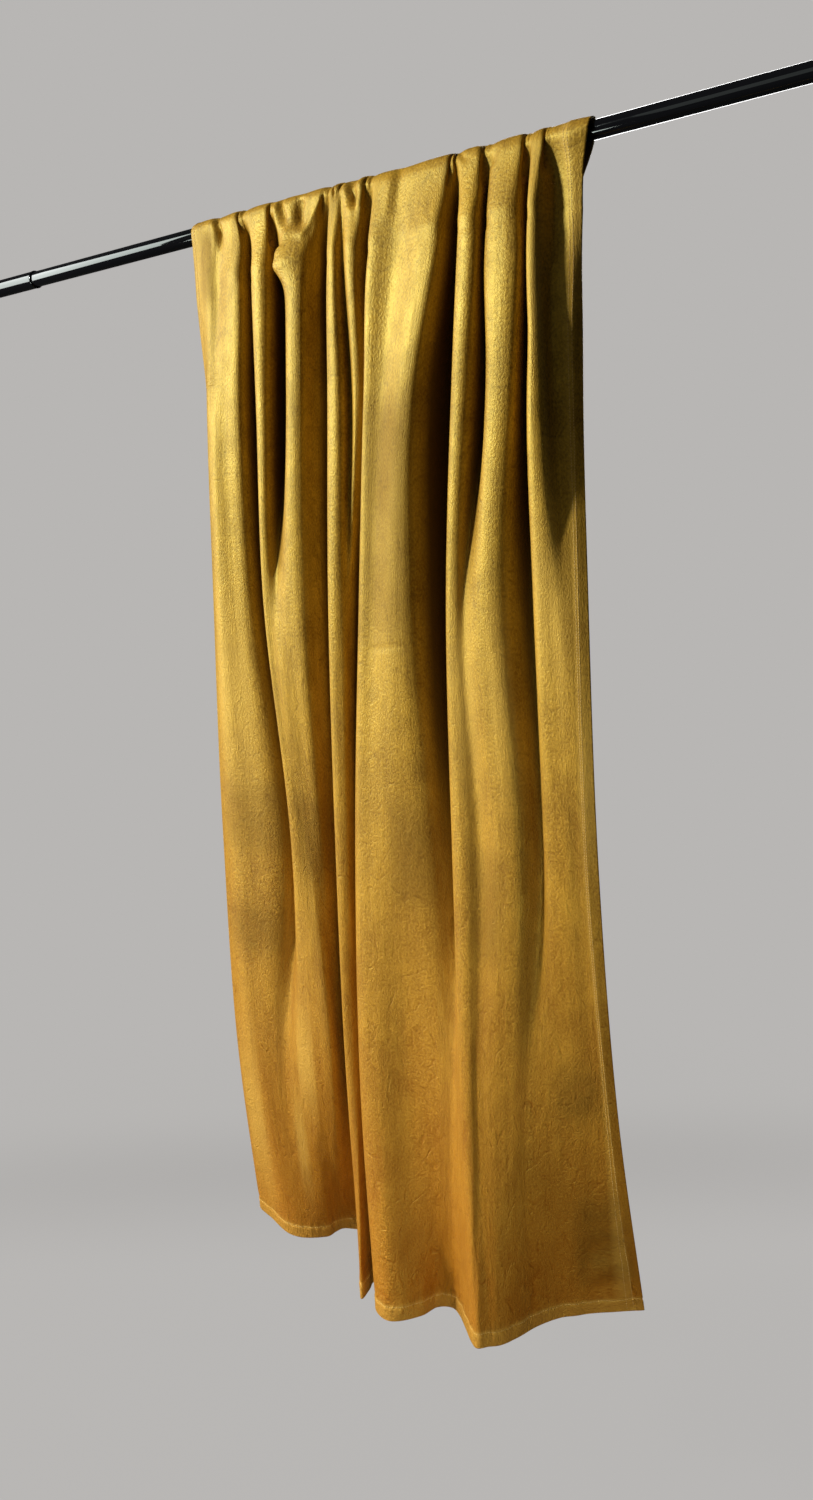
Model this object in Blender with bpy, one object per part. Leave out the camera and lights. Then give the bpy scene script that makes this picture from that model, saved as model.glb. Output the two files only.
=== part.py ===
"""A velvet curtain panel gathered on a telescopic metal rod, as it hangs.

Metres, +Z up. The rod's axis is the X axis, its left end face is at the origin,
and the front of the curtain faces -Y.
"""

import math

import bmesh
import bpy
from mathutils import Vector

# Rod: three tubes that slide into one another
ROD_LENGTH = 1.800
OUTER_TUBE_RADIUS = 0.0155
MIDDLE_TUBE_RADIUS = 0.0140
INNER_TUBE_RADIUS = 0.0125
SLIDING_GAP = 0.00035
OUTER_TUBE_END = 0.196  # where the outer tube's open end stops along X
MIDDLE_TUBE_END = 1.020  # this joint lies inside the curtain's pocket
TUBE_OVERLAP = 0.120
RIM_LENGTH = 0.004
RIM_HEIGHT = 0.0006
END_WALL = 0.003
TUBE_SIDES = 40

# Curtain panel
CLOTH_THICKNESS = 0.002
CLOTH_ON_ROD = 0.0006  # gap between the rod and the cloth that lies on it
ROD_STEP_EASE = 0.040  # length over which the cloth steps down at the hidden joint
BACK_FULLNESS = 0.8  # how far the gathers stand out behind the rod, against the front
TOP_FULLNESS = 0.25  # and on top of it
POCKET_SEAM_TOP = -0.056
POCKET_SEAM_BOTTOM = -0.064
HEM_HEIGHT = -1.760
COLUMN_SPACING = 0.019  # where fold lines are well apart
CLOSE_LINES = 0.014  # lines that come closer than this get two columns between them
POCKET_ANGLES = (90, 65, 40, 18)  # degrees up from the rod's front, apex first
POCKET_DROPS = (0.0, -0.020, -0.040)
PANEL_HEIGHTS = (
    -0.080, -0.100, -0.130, -0.170, -0.220, -0.280, -0.350, -0.440, -0.540,
    -0.660, -0.790, -0.930, -1.070, -1.210, -1.350, -1.490, -1.610, -1.700, HEM_HEIGHT,
)  # fmt: skip

# Each row is one fold line of the cloth, from the left edge to the right one: a ridge, a valley or
# a pinch. It gives the line's (x, y) in millimetres at each of these heights; the first is the rod's axis.
FOLD_LINE_HEIGHTS = (0.0, -0.10, -0.30, -0.60, -1.00, -1.40, HEM_HEIGHT)
FOLD_LINES = (
    ("left edge", (644, -18), (642, -12), (645, 0), (633, 5), (636, 0), (653, 20), (644, 85)),
    ("first ridge", (683, -27), (690, -32), (687, -45), (683, -50), (680, -55), (674, -42), (622, 45)),
    ("first pinch", (712, -19), (710, -27), (709, -52), (709, -63), (719, -72), (732, -70), (677, 20)),
    ("second ridge", (740, -28), (748, -41), (730, -50), (737, -56), (761, -66), (761, -70), (739, -3)),
    ("second shoulder", (753, -27), (770, -40), (764, -46), (765, -46), (811, -50), (786, -64), (761, -3)),
    ("second valley", (762, -18), (773, 0), (759, 12), (767, 12), (825, -8), (809, -58), (778, 3)),
    ("third ridge", (793, -29), (802, -43), (804, -48), (803, -54), (850, -65), (853, -66), (799, 20)),
    ("third shoulder", (817, -28), (828, -40), (821, -45), (814, -52), (863, -64), (872, -67), (807, 30)),
    ("dark valley", (829, -18), (828, 4), (810, 24), (825, -47), (872, -59), (894, -66), (807, 50)),
    ("swag ridge", (867, -26), (879, -44), (878, -54), (861, -56), (883, -54), (916, -60), (810, 66)),
    ("swag pinch", (895, -24), (905, -42), (900, -50), (887, -51), (898, -44), (908, -20), (828, 76)),
    ("fourth ridge", (930, -29), (917, -16), (906, -22), (897, -26), (897, -8), (900, 18), (860, 86)),
    ("fourth valley", (949, -18), (923, 6), (921, 12), (908, 22), (904, 30), (908, 52), (905, 88)),
    ("fifth ridge", (963, -27), (961, -40), (957, -48), (949, -57), (944, -60), (951, -66), (962, -60)),
    ("fifth shoulder", (971, -27), (975, -42), (981, -48), (970, -54), (959, -57), (961, -64), (978, -84)),
    ("flap valley", (976, -19), (979, -26), (981, -22), (974, -45), (963, -52), (964, -58), (989, -95)),
    ("flap ridge", (990, -30), (1000, -44), (1005, -43), (976, -37), (962, -43), (964, -50), (984, -76)),
    ("bunch pinch", (1004, -19), (1013, -42), (1012, -40), (975, -24), (959, -30), (963, -36), (978, -60)),
    ("bunch ridge", (1017, -29), (1017, -36), (1016, -33), (976, -8), (957, -10), (966, -8), (971, -44)),
    ("fifth valley", (1031, -18), (1022, -4), (1023, 2), (977, 14), (965, 22), (967, 28), (985, -10)),
    ("wide fold left", (1058, -26), (1044, -42), (1033, -53), (1017, -62), (1003, -80), (1010, -100), (1025, -102)),
    ("wide fold trough", (1097, -20), (1089, -33), (1064, -48), (1044, -61), (1035, -81), (1046, -101), (1067, -118)),
    ("wide fold right", (1141, -28), (1148, -47), (1111, -60), (1089, -68), (1085, -72), (1087, -74), (1099, -78)),
    ("wide fold shoulder", (1174, -27), (1172, -44), (1130, -54), (1114, -57), (1130, -54), (1139, -62), (1106, -42)),
    ("sixth valley", (1187, -18), (1180, 2), (1143, 38), (1130, 42), (1154, -12), (1165, -60), (1126, -22)),
    ("sixth ridge", (1212, -33), (1211, -46), (1199, -54), (1182, -61), (1185, -70), (1202, -88), (1214, -96)),
    ("sixth shoulder", (1229, -31), (1237, -45), (1221, -51), (1197, -60), (1208, -70), (1213, -86), (1224, -95)),
    ("seventh valley", (1244, -18), (1234, -6), (1223, 6), (1205, -50), (1225, -58), (1223, -79), (1235, -91)),
    ("seventh ridge", (1273, -29), (1258, -43), (1258, -53), (1243, -62), (1260, -65), (1244, -69), (1248, -72)),
    ("seventh shoulder", (1294, -28), (1297, -42), (1293, -48), (1271, -55), (1294, -56), (1269, -52), (1258, -43)),
    ("eighth valley", (1311, -18), (1302, -2), (1287, 14), (1294, -4), (1312, -22), (1286, -38), (1268, 5)),
    ("eighth ridge", (1328, -29), (1321, -44), (1321, -56), (1325, -50), (1327, -37), (1324, -10), (1286, 46)),
    ("eighth shoulder", (1338, -28), (1333, -44), (1338, -50), (1351, -47), (1360, -34), (1351, 9), (1303, 64)),
    ("ninth valley", (1342, -19), (1344, -2), (1335, -2), (1367, -40), (1374, -29), (1368, 21), (1318, 82)),
    ("side hem", (1374, -23), (1371, -5), (1356, 14), (1385, -33), (1388, -25), (1384, 31), (1361, 119)),
    ("right edge", (1403, -18), (1383, -2), (1364, 24), (1396, -26), (1401, -17), (1395, 42), (1384, 139)),
)  # fmt: skip


def clear_scene():
    for obj in list(bpy.data.objects):
        bpy.data.objects.remove(obj, do_unlink=True)


def principled(name, color, roughness, metallic, sheen=0.0):
    material = bpy.data.materials.new(name)
    material.use_nodes = True
    shader = material.node_tree.nodes["Principled BSDF"]
    shader.inputs["Base Color"].default_value = (*color, 1.0)
    shader.inputs["Roughness"].default_value = roughness
    shader.inputs["Metallic"].default_value = metallic
    shader.inputs["Sheen Weight"].default_value = sheen
    return material


def add_object(name, bm, material):
    bmesh.ops.recalc_face_normals(bm, faces=bm.faces[:])
    mesh = bpy.data.meshes.new(name)
    bm.to_mesh(mesh)
    bm.free()
    mesh.materials.append(material)
    obj = bpy.data.objects.new(name, mesh)
    bpy.context.scene.collection.objects.link(obj)
    return obj


def lathe_tube(name, profile, material):
    """A closed solid of revolution round the X axis, from (x, radius) points; radius 0 is a pole."""
    bm = bmesh.new()
    rings = []
    for x, radius in profile:
        if radius == 0.0:
            rings.append([bm.verts.new((x, 0.0, 0.0))])
            continue
        angles = [2 * math.pi * side / TUBE_SIDES for side in range(TUBE_SIDES)]
        rings.append([bm.verts.new((x, radius * math.cos(a), radius * math.sin(a))) for a in angles])
    for first, second in zip(rings, rings[1:] + rings[:1]):
        if len(first) == len(second) == 1:
            continue
        for side in range(TUBE_SIDES):
            after = (side + 1) % TUBE_SIDES
            corners = [first[side % len(first)], first[after % len(first)]]
            corners += [second[after % len(second)], second[side % len(second)]]
            bm.faces.new(list(dict.fromkeys(corners)))
    return add_object(name, bm, material)


def build_rod(material):
    outer_bore = MIDDLE_TUBE_RADIUS + SLIDING_GAP
    middle_bore = INNER_TUBE_RADIUS + SLIDING_GAP
    inner_bore = INNER_TUBE_RADIUS - 0.001
    rim = OUTER_TUBE_RADIUS + RIM_HEIGHT
    lathe_tube(
        "rod_outer_tube",
        [
            (0.0, 0.0),
            (0.0, OUTER_TUBE_RADIUS),
            (OUTER_TUBE_END - RIM_LENGTH, OUTER_TUBE_RADIUS),
            (OUTER_TUBE_END - RIM_LENGTH * 0.8, rim),
            (OUTER_TUBE_END - RIM_LENGTH * 0.2, rim),
            (OUTER_TUBE_END, OUTER_TUBE_RADIUS),
            (OUTER_TUBE_END, outer_bore),
            (END_WALL, outer_bore),
            (END_WALL, 0.0),
        ],
        material,
    )
    lathe_tube(
        "rod_middle_tube",
        [
            (OUTER_TUBE_END - TUBE_OVERLAP, middle_bore),
            (OUTER_TUBE_END - TUBE_OVERLAP, MIDDLE_TUBE_RADIUS),
            (MIDDLE_TUBE_END, MIDDLE_TUBE_RADIUS),
            (MIDDLE_TUBE_END, middle_bore),
        ],
        material,
    )
    lathe_tube(
        "rod_inner_tube",
        [
            (ROD_LENGTH, 0.0),
            (ROD_LENGTH, INNER_TUBE_RADIUS),
            (MIDDLE_TUBE_END - TUBE_OVERLAP, INNER_TUBE_RADIUS),
            (MIDDLE_TUBE_END - TUBE_OVERLAP, inner_bore),
            (ROD_LENGTH - END_WALL, inner_bore),
            (ROD_LENGTH - END_WALL, 0.0),
        ],
        material,
    )


def smooth_between(positions, values, at):
    """A smooth curve through the values (vectors), which lie at rising positions."""
    last = len(positions) - 1
    index = max(i for i in range(last) if positions[i] <= at or i == 0)

    def steepness(i):
        return (values[i + 1] - values[i]) / (positions[i + 1] - positions[i])

    def slope(i):
        if i in (0, last):
            return steepness(min(i, last - 1))
        before, after = positions[i] - positions[i - 1], positions[i + 1] - positions[i]
        return (steepness(i - 1) * after + steepness(i) * before) / (before + after)

    span = positions[index + 1] - positions[index]
    share = (at - positions[index]) / span
    square, cube = share**2, share**3
    return (
        values[index] * (2 * cube - 3 * square + 1)
        + slope(index) * span * (cube - 2 * square + share)
        + values[index + 1] * (3 * square - 2 * cube)
        + slope(index + 1) * span * (cube - square)
    )


def columns_between_lines():
    """How many columns the cloth has from each fold line to the next."""
    counts = []
    for (_, *places), (_, *next_places) in zip(FOLD_LINES, FOLD_LINES[1:]):
        gaps = [math.dist(a, b) / 1000 for a, b in zip(places, next_places)]
        apart = max(2, round(sum(gaps) / len(gaps) / COLUMN_SPACING))
        counts.append(2 if min(gaps) < CLOSE_LINES else apart)
    return counts


def plan_curve(height):
    """The cloth seen from above at this height: one point (x, y) for each column."""
    drops = [-h for h in FOLD_LINE_HEIGHTS]
    lines = []
    for _, *places in FOLD_LINES:
        points = [Vector(place) / 1000 for place in places]
        lines.append(smooth_between(drops, points, -height))

    # Square roots of the distances as positions keep the curve round where fold lines come close.
    positions = [0.0]
    for line, following in zip(lines, lines[1:]):
        positions.append(positions[-1] + math.sqrt((following - line).length))
    columns = []
    for start, end, count in zip(positions, positions[1:], columns_between_lines()):
        for part in range(count):
            columns.append(smooth_between(positions, lines, start + (end - start) * part / count))
    return columns + [lines[-1]]


def rod_radius_under(x):
    """The rod's radius under the cloth, eased over the hidden joint."""
    share = min(max((x - MIDDLE_TUBE_END) / ROD_STEP_EASE, 0.0), 1.0)
    return MIDDLE_TUBE_RADIUS + share * (INNER_TUBE_RADIUS - MIDDLE_TUBE_RADIUS)


def pocket_row(angle):
    """The middle of the cloth round the rod, at this many degrees up from the rod's front."""
    turn = math.radians(angle)
    side_fullness = 1.0 if angle <= 90 else BACK_FULLNESS
    row = []
    for point in plan_curve(0.0):
        lying = rod_radius_under(point.x) + CLOTH_ON_ROD + CLOTH_THICKNESS / 2
        bulge = -point.y - (MIDDLE_TUBE_RADIUS + CLOTH_ON_ROD + CLOTH_THICKNESS / 2)
        fullness = TOP_FULLNESS + (side_fullness - TOP_FULLNESS) * math.cos(turn) ** 2
        radius = lying + bulge * fullness
        row.append(Vector((point.x, -radius * math.cos(turn), radius * math.sin(turn))))
    return row


def front_rows():
    rows = [pocket_row(angle) for angle in POCKET_ANGLES]
    for height in (*POCKET_DROPS, POCKET_SEAM_TOP, POCKET_SEAM_BOTTOM, *PANEL_HEIGHTS):
        rows.append([Vector((*point, height)) for point in plan_curve(height)])
    return rows


def back_rows():
    """The pocket's back layer, from next to the apex down to just above the seam."""
    rows = [pocket_row(180 - angle) for angle in POCKET_ANGLES[1:]]
    behind = pocket_row(180)
    rows.append(behind)
    seam = [Vector((*point, POCKET_SEAM_TOP)) for point in plan_curve(POCKET_SEAM_TOP)]
    for height in POCKET_DROPS[1:]:
        share = (height / POCKET_SEAM_TOP) ** 1.3
        rows.append([Vector((*a.lerp(b, share).xy, height)) for a, b in zip(behind, seam)])
    return rows


def offset_rows(rows):
    """The two faces of the cloth, half its thickness to each side of the rows' middle surface."""
    outside, inside = [], []
    for r, row in enumerate(rows):
        above, below = rows[max(r - 1, 0)], rows[min(r + 1, len(rows) - 1)]
        outside.append([])
        inside.append([])
        for c, point in enumerate(row):
            along = Vector((0.0, 0.0, 0.0))
            for start, end in ((c - 1, c), (c, c + 1)):
                if 0 <= start and end < len(row):
                    along += (row[end] - row[start]).normalized()
            normal = along.cross(below[c] - above[c]).normalized()
            outside[-1].append(point - normal * CLOTH_THICKNESS / 2)
            inside[-1].append(point + normal * CLOTH_THICKNESS / 2)
    return outside, inside


def build_curtain(material):
    back, front = back_rows(), front_rows()
    outside, inside = offset_rows(list(reversed(back)) + front)
    bm = bmesh.new()
    outside = [[bm.verts.new(point) for point in row] for row in outside]
    inside = [[bm.verts.new(point) for point in row] for row in inside]
    apex = len(back)
    seam = apex + len(POCKET_ANGLES) + len(POCKET_DROPS)

    # The back layer ends on the inner face of the front layer, between the two seam rows.
    back_outside = outside[: apex + 1][::-1] + [inside[seam + 1]]
    back_inside = inside[: apex + 1][::-1] + [inside[seam]]
    front_outside, front_inside = outside[apex:], inside[apex:]

    # Both faces of the cloth are split along the same diagonals, so they stay parallel where it twists.
    def band(upper, lower):
        for c in range(len(upper) - 1):
            bm.faces.new((upper[c], upper[c + 1], lower[c + 1]))
            bm.faces.new((upper[c], lower[c + 1], lower[c]))

    def side_caps(outer_rows, inner_rows):
        for column in (0, -1):
            for r in range(len(outer_rows) - 1):
                corners = (outer_rows[r], outer_rows[r + 1], inner_rows[r + 1], inner_rows[r])
                bm.faces.new([row[column] for row in corners])

    for rows in (front_outside, front_inside, back_outside, back_inside):
        for r in range(len(rows) - 1):
            if rows is not front_inside or r != seam - apex:
                band(rows[r], rows[r + 1])
    band(front_outside[-1], front_inside[-1])
    side_caps(front_outside, front_inside)
    side_caps(back_outside, back_inside)
    return add_object("curtain_panel", bm, material)


clear_scene()
build_rod(principled("black_painted_steel", (0.012, 0.012, 0.014), 0.3, 0.6))
build_curtain(principled("ochre_velvet", (0.42, 0.22, 0.035), 0.75, 0.0, sheen=0.6))
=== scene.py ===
import math

import bmesh
import bpy
import numpy as np
from mathutils import Matrix, Vector


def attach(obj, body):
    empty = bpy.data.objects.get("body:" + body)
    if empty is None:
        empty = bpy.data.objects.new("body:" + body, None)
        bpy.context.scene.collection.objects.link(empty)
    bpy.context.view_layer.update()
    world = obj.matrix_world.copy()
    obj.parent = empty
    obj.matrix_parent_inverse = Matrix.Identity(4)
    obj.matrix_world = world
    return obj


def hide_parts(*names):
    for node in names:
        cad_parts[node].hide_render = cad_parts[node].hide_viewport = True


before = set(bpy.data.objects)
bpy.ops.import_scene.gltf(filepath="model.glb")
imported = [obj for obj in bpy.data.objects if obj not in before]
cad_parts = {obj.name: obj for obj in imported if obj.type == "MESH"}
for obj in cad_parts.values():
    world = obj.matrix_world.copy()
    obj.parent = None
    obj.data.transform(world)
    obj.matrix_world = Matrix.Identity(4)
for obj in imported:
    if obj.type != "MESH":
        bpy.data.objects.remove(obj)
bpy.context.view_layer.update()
scene = bpy.context.scene

# Camera: a person's eye height, to the right of the curtain and turned a little downwards,
# with the slight tilt that the picture has.
camera_place = (2.31, -1.606, -0.571)
camera_azimuth = 38.15
camera_pitch = 7.86
camera_roll = -2.0
camera_data = bpy.data.cameras.new("camera")
camera_data.sensor_width = 36.0
camera_data.lens = 31.2
camera = bpy.data.objects.new("camera", camera_data)
scene.collection.objects.link(camera)
camera_turn = (
    Matrix.Rotation(math.radians(camera_azimuth), 4, "Z")
    @ Matrix.Rotation(math.radians(90.0 - camera_pitch), 4, "X")
    @ Matrix.Rotation(math.radians(camera_roll), 4, "Z")
)
camera.matrix_world = Matrix.Translation(camera_place) @ camera_turn
scene.camera = camera


# Studio: an even pale grey surround and floor. A strong light high on the left leaves the right-facing sides
# of the folds in shade, a large soft one stands close on the left, and weaker ones fill the front, the low
# parts and the back.
surround_colour = "#b8b6b4"
surround_light_strength = 0.05


def linear(hex_colour):
    """Red, green, blue and alpha in linear light from an sRGB hex value."""
    channels = [int(hex_colour[i : i + 2], 16) / 255 for i in (1, 3, 5)]
    return [c / 12.92 if c <= 0.04045 else ((c + 0.055) / 1.055) ** 2.4 for c in channels] + [1.0]


def add_node(tree, kind, sockets=None, **settings):
    """
    Adds a node with its settings, and gives each named or numbered socket a value or a link.
    A node given as a value stands for its first output. Sockets 0 to 4 of a MapRange are the value, the range
    that it comes from and the range that it goes to. Socket 0 of a Mix is the share of its second colour, and
    6 and 7 are its two colours.
    """
    node = tree.nodes.new("ShaderNode" + kind)
    for name, value in settings.items():
        setattr(node, name, value)
    for socket, value in (sockets or {}).items():
        if isinstance(value, bpy.types.Node):
            value = value.outputs[0]
        if isinstance(value, bpy.types.NodeSocket):
            tree.links.new(value, node.inputs[socket])
        else:
            node.inputs[socket].default_value = value
    return node


scene.view_settings.view_transform = "Standard"
world = bpy.data.worlds.new("studio_surround")
scene.world = world
world.use_nodes = True
tree = world.node_tree
tree.nodes.clear()
seen_surround = add_node(tree, "Background", {"Color": linear(surround_colour)})
lit_surround = add_node(
    tree, "Background", {"Color": linear(surround_colour), "Strength": surround_light_strength}
)
is_seen = add_node(tree, "LightPath").outputs["Is Camera Ray"]
surround = add_node(tree, "MixShader", {0: is_seen, 1: lit_surround, 2: seen_surround})
add_node(tree, "OutputWorld", {"Surface": surround})

studio_lights = (
    # name, place, what it points at, side in metres, spread in degrees, watts
    ("key_light", (-2.20, -3.90, 1.40), (1.00, 0.0, -0.90), 0.6, 180.0, 350.0),
    ("left_light", (-2.60, -1.60, 0.55), (0.40, 0.0, -0.40), 2.4, 180.0, 104.0),
    ("front_fill_light", (0.40, -3.60, 0.20), (1.00, 0.0, -0.90), 2.5, 180.0, 6.0),
    ("low_left_fill_light", (-1.30, -2.20, -1.95), (1.20, 0.0, -1.60), 0.8, 180.0, 24.0),
    ("low_right_fill_light", (2.60, -2.00, -1.70), (1.25, 0.0, -1.70), 1.0, 60.0, 3.4),
    ("back_fill_light", (0.20, 3.20, 0.90), (1.00, 0.0, -0.90), 2.5, 180.0, 130.0),
)
for name, place, target, side, spread, watts in studio_lights:
    light_data = bpy.data.lights.new(name, "AREA")
    light_data.size = side
    light_data.spread = math.radians(spread)
    light_data.energy = watts
    light = bpy.data.objects.new(name, light_data)
    light.location = place
    light.rotation_euler = (Vector(target) - Vector(place)).to_track_quat("-Z", "Y").to_euler()
    scene.collection.objects.link(light)


def add_material(name):
    """A new material and its node tree, still empty."""
    material = bpy.data.materials.new(name)
    material.use_nodes = True
    material.node_tree.nodes.clear()
    return material, material.node_tree


# The floor is a disc that fades out at its edge. Away from the camera it has painted shade, a little darker
# and then lighter again, where a bent paper sweep would turn up and be shaded.
floor_centre = (1.0, 0.0, -2.10)
floor_fade_start = 1.1
floor_fade_end = 2.4
sweep_turn = math.radians(38.0)
sweep_shade_tones = ((0.0, "#b6b4b2"), (0.52, "#adaba9"), (0.95, "#b4b2b0"))
bpy.ops.object.select_all(action="DESELECT")
bpy.ops.mesh.primitive_circle_add(vertices=96, radius=floor_fade_end, fill_type="NGON", location=floor_centre)
floor = bpy.context.active_object
floor.name = "studio_floor"
bpy.ops.object.transform_apply(location=True)
floor_paint, tree = add_material("matt_grey_floor_paint")
place = add_node(tree, "TexCoord").outputs["Object"]
from_centre = add_node(tree, "VectorMath", {0: place, 1: floor_centre}, operation="DISTANCE").outputs["Value"]
floor_fade = add_node(
    tree,
    "MapRange",
    {0: from_centre, 1: floor_fade_start, 2: floor_fade_end},
    interpolation_type="SMOOTHSTEP",
)
floor_diffuse = add_node(tree, "BsdfDiffuse", {"Color": linear("#1c1b1a")})
away = (-math.sin(sweep_turn), math.cos(sweep_turn), 0.0)
sweep = add_node(tree, "VectorMath", {0: place, 1: away}, operation="DOT_PRODUCT").outputs["Value"]
floor_tone = add_node(tree, "ValToRGB", {0: sweep})
floor_tone.color_ramp.interpolation = "EASE"
floor_tone.color_ramp.elements.remove(floor_tone.color_ramp.elements[1])
for ramp_place, tone in sweep_shade_tones[1:]:
    floor_tone.color_ramp.elements.new(ramp_place).color = linear(tone)
floor_tone.color_ramp.elements[0].color = linear(sweep_shade_tones[0][1])
floor_glow = add_node(tree, "Emission", {"Color": floor_tone, "Strength": 1.0})
floor_lit = add_node(tree, "AddShader", {0: floor_diffuse, 1: floor_glow})
floor_gone = add_node(tree, "BsdfTransparent")
floor_mix = add_node(tree, "MixShader", {0: floor_fade, 1: floor_lit, 2: floor_gone})
add_node(tree, "OutputMaterial", {"Surface": floor_mix})
floor.data.materials.append(floor_paint)
floor.visible_diffuse = False
floor.visible_glossy = False


# The rod: three round steel tubes, each sliding in the next, with a rolled lip where the widest one ends.
# The steel is painted gloss black; both far ends are closed by a flat plug.
outer_tube_radius = 0.0155
middle_tube_radius = 0.0140
inner_tube_radius = 0.0125
sliding_gap = 0.00035
tube_sides = 96
rod_length = 1.800
outer_tube_end = 0.196
middle_tube_start = 0.076
middle_tube_end = 1.020
inner_tube_start = 0.900
lip_length = 0.004
lip_height = 0.0006
plug_edge = 0.0012
bore_end_gap = 0.004
worn_edge_width = 0.00015


def select_end_face(mesh, x):
    """Selects the faces that lie flat at this x, and nothing else."""
    for face in mesh.faces:
        face.select_set(False)
    for face in mesh.faces:
        if abs(face.normal.x) > 0.99 and abs(face.calc_center_median().x - x) < 1e-5:
            face.select_set(True)


def shape_end(obj, x, steps):
    """Extrudes the end face at x, in edit mode, through steps of (distance along X, new radius)."""
    bpy.ops.object.mode_set(mode="EDIT")
    bpy.ops.mesh.select_mode(type="FACE")
    select_end_face(bmesh.from_edit_mesh(obj.data), x)
    bmesh.update_edit_mesh(obj.data)
    for distance, radius in steps:
        edit_mesh = bmesh.from_edit_mesh(obj.data)
        end_face = [face for face in edit_mesh.faces if face.select][0]
        old_radius = max(math.hypot(vert.co.y, vert.co.z) for vert in end_face.verts)
        end_x = end_face.calc_center_median().x
        bpy.ops.mesh.extrude_region_move(TRANSFORM_OT_translate={"value": (distance, 0.0, 0.0)})
        share = radius / old_radius
        bpy.ops.transform.resize(value=(1.0, share, share), center_override=(end_x + distance, 0.0, 0.0))
    bpy.ops.object.mode_set(mode="OBJECT")


def add_tube(name, start, end, radius):
    """A round bar along X, still with plain flat ends."""
    bpy.ops.object.select_all(action="DESELECT")
    bpy.ops.mesh.primitive_cylinder_add(
        vertices=tube_sides,
        radius=radius,
        depth=end - start,
        location=((start + end) / 2, 0.0, 0.0),
        rotation=(0.0, math.radians(90.0), 0.0),
    )
    obj = bpy.context.active_object
    obj.name = name
    bpy.ops.object.transform_apply(location=True, rotation=True)
    return obj


def plug_steps(outwards, radius):
    """A short straight part and a slanted edge, for a closed far end of the rod."""
    half_edge = plug_edge / 2
    return [(outwards * half_edge, radius), (outwards * half_edge, radius - half_edge)]


def bore_steps(tube_end, next_tube_start, next_tube_radius):
    """The rim and the bore, for an end that the next tube slides into."""
    bore = next_tube_radius + sliding_gap
    return [(0.0, bore), (next_tube_start - bore_end_gap - tube_end, bore)]


lip_shape = (
    # share of the lip's length, and share of its height that it stands out by after that
    (0.15, 0.7),
    (0.15, 1.0),
    (0.40, 1.0),
    (0.15, 0.7),
    (0.15, -0.2),
)
lip_steps = [(lip_length * part, outer_tube_radius + lip_height * rise) for part, rise in lip_shape]

outer_tube = add_tube("outer_tube", plug_edge, outer_tube_end - lip_length, outer_tube_radius)
outer_bore_steps = bore_steps(outer_tube_end, middle_tube_start, middle_tube_radius)
shape_end(outer_tube, plug_edge, plug_steps(-1, outer_tube_radius))
shape_end(outer_tube, outer_tube_end - lip_length, lip_steps + outer_bore_steps)

middle_tube = add_tube("middle_tube", middle_tube_start, middle_tube_end, middle_tube_radius)
shape_end(middle_tube, middle_tube_end, bore_steps(middle_tube_end, inner_tube_start, inner_tube_radius))

inner_tube = add_tube("inner_tube", inner_tube_start, rod_length - plug_edge, inner_tube_radius)
shape_end(inner_tube, rod_length - plug_edge, plug_steps(1, inner_tube_radius))

# Gloss black enamel on drawn steel: near black and very glossy, with sharp narrow reflections, a faint orange
# peel and fine rubbing marks along the tube where the parts have slid.
enamel_peel_size = 0.004
rub_mark_width = 0.0007
rub_mark_length = 0.090
enamel, tree = add_material("gloss_black_enamel_on_steel")
place = add_node(tree, "TexCoord").outputs["Object"]
peel = add_node(tree, "TexNoise", {"Vector": place, "Scale": 1 / enamel_peel_size, "Detail": 2.0})
rub_scale = (1 / rub_mark_length, 1 / rub_mark_width, 1 / rub_mark_width)
rub_place = add_node(tree, "Mapping", {"Vector": place, "Scale": rub_scale})
rubbing = add_node(tree, "TexNoise", {"Vector": rub_place, "Scale": 1.0, "Detail": 4.0})
enamel_roughness = add_node(tree, "MapRange", {0: rubbing, 1: 0.3, 2: 0.75, 3: 0.03, 4: 0.06})
enamel_sockets = {0: rubbing, 6: linear("#060608"), 7: linear("#101013")}
enamel_colour = add_node(tree, "Mix", enamel_sockets, data_type="RGBA")
enamel_bump = add_node(tree, "Bump", {"Height": peel, "Strength": 0.02, "Distance": 0.0001})
enamel_shader = add_node(
    tree,
    "BsdfPrincipled",
    {
        "Base Color": enamel_colour.outputs[2],
        "Roughness": enamel_roughness,
        "Normal": enamel_bump,
        "Specular IOR Level": 0.9,
        "Specular Tint": linear("#e4f2ea"),
    },
)
add_node(tree, "OutputMaterial", {"Surface": enamel_shader})

for tube, node_name in (
    (outer_tube, "rod_outer_tube"),
    (middle_tube, "rod_middle_tube"),
    (inner_tube, "rod_inner_tube"),
):
    tube_bevel = tube.modifiers.new("worn_edges", "BEVEL")
    tube_bevel.width = worn_edge_width
    tube_bevel.segments = 2
    tube_bevel.limit_method = "ANGLE"
    bpy.ops.object.select_all(action="DESELECT")
    tube.select_set(True)
    bpy.context.view_layer.objects.active = tube
    bpy.ops.object.modifier_apply(modifier=tube_bevel.name)
    bpy.ops.object.mode_set(mode="EDIT")
    bpy.ops.mesh.select_all(action="SELECT")
    bpy.ops.mesh.normals_make_consistent(inside=False)
    bpy.ops.object.mode_set(mode="OBJECT")
    bpy.ops.object.shade_smooth_by_angle(angle=math.radians(25.0))
    tube.data.materials.clear()
    tube.data.materials.append(enamel)
    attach(tube, "root")
    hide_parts(node_name)


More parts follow.
